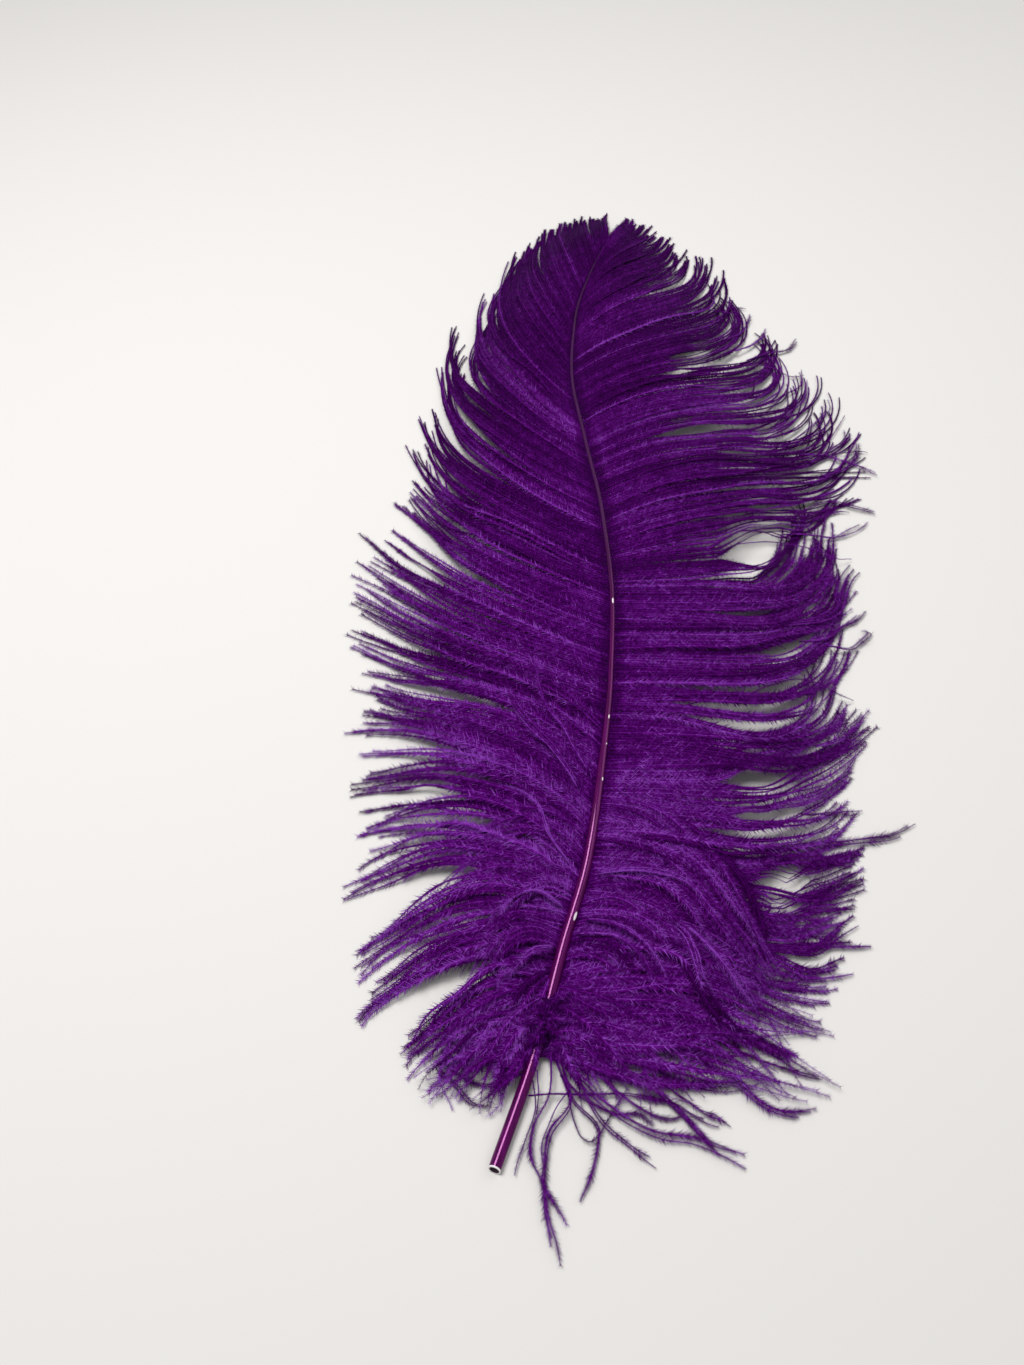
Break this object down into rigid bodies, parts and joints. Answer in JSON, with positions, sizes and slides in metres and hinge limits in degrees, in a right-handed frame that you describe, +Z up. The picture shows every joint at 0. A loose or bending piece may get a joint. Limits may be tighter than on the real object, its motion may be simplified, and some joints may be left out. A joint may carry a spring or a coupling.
{
  "type": "ostrich feather",
  "caption": "Dyed ostrich wing plume lying flat: a hollow snipped quill, a slender bowed shaft and two soft vanes that part into curved, pointed locks.",
  "frame": {"origin": "on the table, under the middle of the feather's outline", "axes": "+Y from the quill's cut end towards the tip, +X to the right seen from above, +Z up from the table"},
  "size_m": [0.304, 0.6734, 0.0188],
  "materials": {
    "dyed_quill": "glossy dyed keratin, dark magenta purple, matte towards the tip",
    "dyed_barbs": "soft dyed down, deep purple with a faint lilac sheen"
  },
  "bodies": {
    "root": {"shaft": "dyed_quill", "left_vane": "dyed_barbs", "right_vane": "dyed_barbs"}
  },
  "joints": []
}
